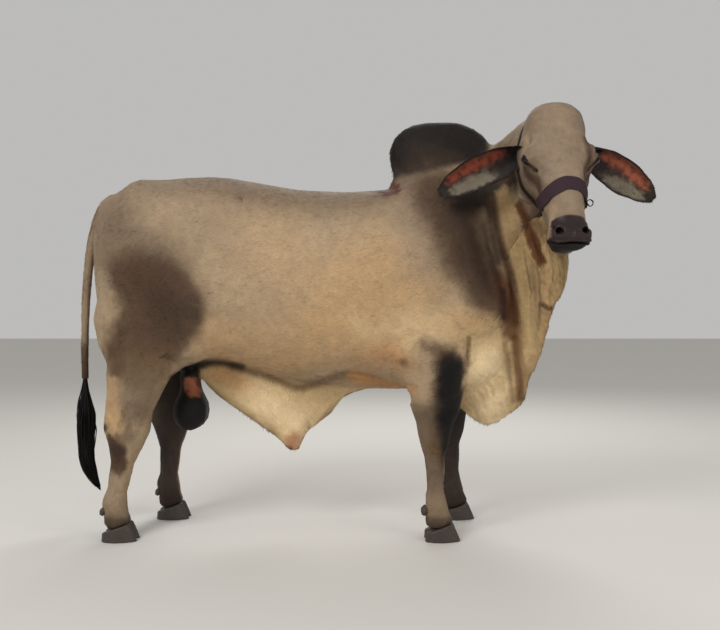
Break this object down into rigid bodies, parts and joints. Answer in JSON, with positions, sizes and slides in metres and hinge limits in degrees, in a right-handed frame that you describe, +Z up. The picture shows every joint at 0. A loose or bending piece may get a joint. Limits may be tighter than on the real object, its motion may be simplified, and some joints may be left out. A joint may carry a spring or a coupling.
{
  "type": "humped zebu bull",
  "caption": "Life-size grey humped zebu bull, standing with its head turned to one side, long drooping ears, a deep dewlap and a plain rope-and-webbing halter.",
  "frame": {"origin": "middle of the bounding box, on the ground the hooves stand on", "axes": "+X from tail to chest, +Y to the animal's left, +Z up; the head is turned to -Y"},
  "size_m": [2.3836, 1.004, 1.7509],
  "materials": {
    "grey_coat": "short flat cream-grey hair on loose hide",
    "dark_coat": "short dark brown-grey hair on hide",
    "switch_hair": "long coarse black hair",
    "hoof_horn": "dark horn, worn and dusty",
    "eye": "wet, dark brown",
    "halter_webbing": "flat woven webbing, dark plum"
  },
  "bodies": {
    "root": {"torso": "grey_coat", "hump": "dark_coat", "neck": "grey_coat", "head": "grey_coat", "eye_right": "eye", "eye_left": "eye", "ear_right": "grey_coat", "ear_left": "grey_coat", "dewlap": "grey_coat", "sheath": "grey_coat", "scrotum": "dark_coat", "tail": "grey_coat", "tail_switch": "switch_hair", "leg_front_right": "grey_coat", "leg_front_left": "grey_coat", "leg_hind_right": "grey_coat", "leg_hind_left": "grey_coat", "claw_front_right_inner": "hoof_horn", "claw_front_right_outer": "hoof_horn", "claw_front_left_inner": "hoof_horn", "claw_front_left_outer": "hoof_horn", "claw_hind_right_inner": "hoof_horn", "claw_hind_right_outer": "hoof_horn", "claw_hind_left_inner": "hoof_horn", "claw_hind_left_outer": "hoof_horn", "dewclaw_front_right_inner": "hoof_horn", "dewclaw_front_right_outer": "hoof_horn", "dewclaw_front_left_inner": "hoof_horn", "dewclaw_front_left_outer": "hoof_horn", "dewclaw_hind_right_inner": "hoof_horn", "dewclaw_hind_right_outer": "hoof_horn", "dewclaw_hind_left_inner": "hoof_horn", "dewclaw_hind_left_outer": "hoof_horn", "halter_noseband": "halter_webbing", "halter_crown": "halter_webbing"}
  },
  "joints": []
}
